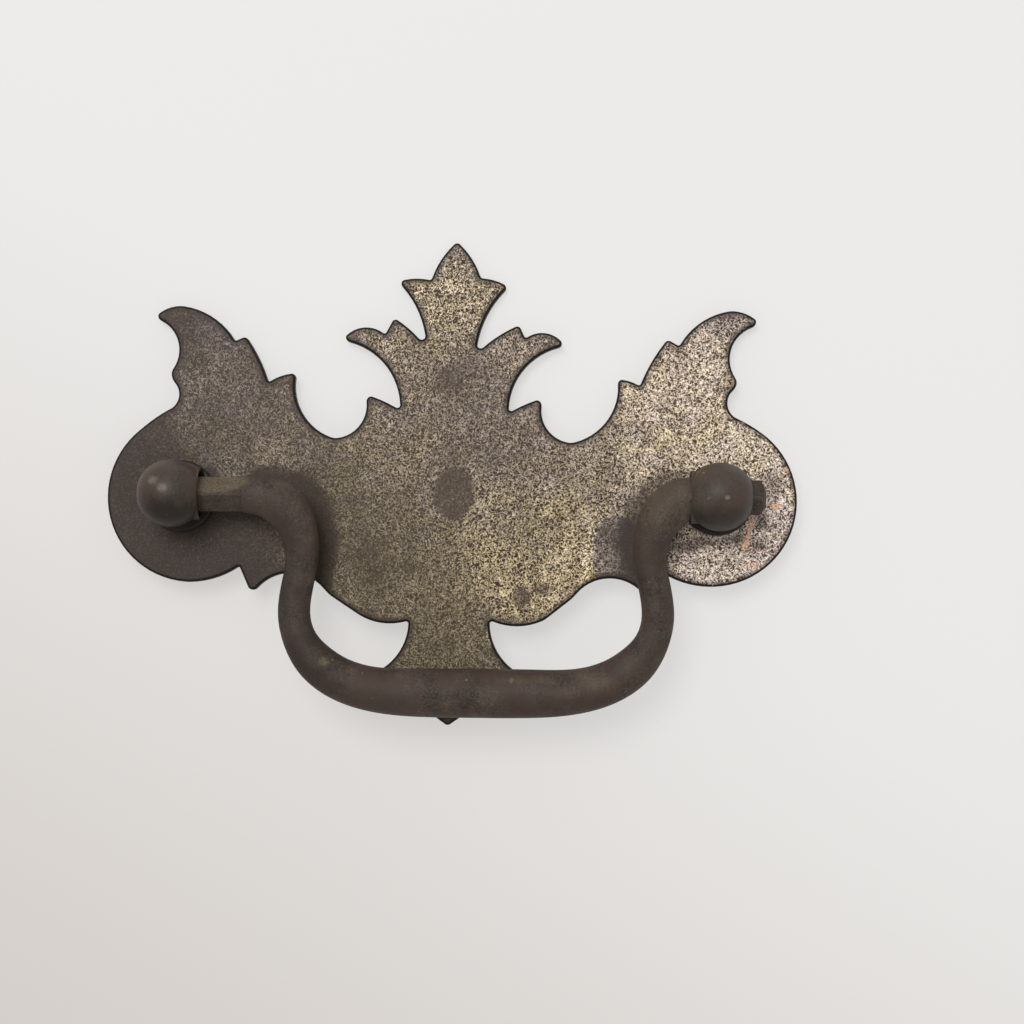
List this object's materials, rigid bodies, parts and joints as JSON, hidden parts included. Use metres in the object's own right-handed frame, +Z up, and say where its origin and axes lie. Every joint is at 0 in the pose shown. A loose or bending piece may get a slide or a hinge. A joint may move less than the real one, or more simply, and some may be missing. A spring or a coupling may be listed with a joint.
{
  "type": "bail pull",
  "caption": "Small brass bail pull: leafy cut backplate, ball-headed posts with tapped backs, and a swinging bail handle whose square pins turn in the posts.",
  "frame": {"origin": "midway between the two post holes, on the back of the plate", "axes": "+X to the right along the line of the posts, +Z up towards the finial, +Y into the drawer front, so the front looks along -Y"},
  "size_m": [0.0818, 0.0141, 0.0572],
  "materials": {
    "plate_brass": "dark brown patina worn to a fine brassy speckle",
    "bail_brass": "dark chocolate-brown patina, satin",
    "post_brass": "dark grey-brown patina, satin"
  },
  "bodies": {
    "mounting": {"backplate": "plate_brass", "left_post": "post_brass", "right_post": "post_brass"},
    "handle": {"bail": "bail_brass"}
  },
  "joints": [
    {"name": "bail_swing", "type": "hinge", "parent": "mounting", "child": "handle", "pos_m": [0, -0.0065, 0], "axis": [-1, 0, 0], "range_deg": [0, 191]}
  ]
}
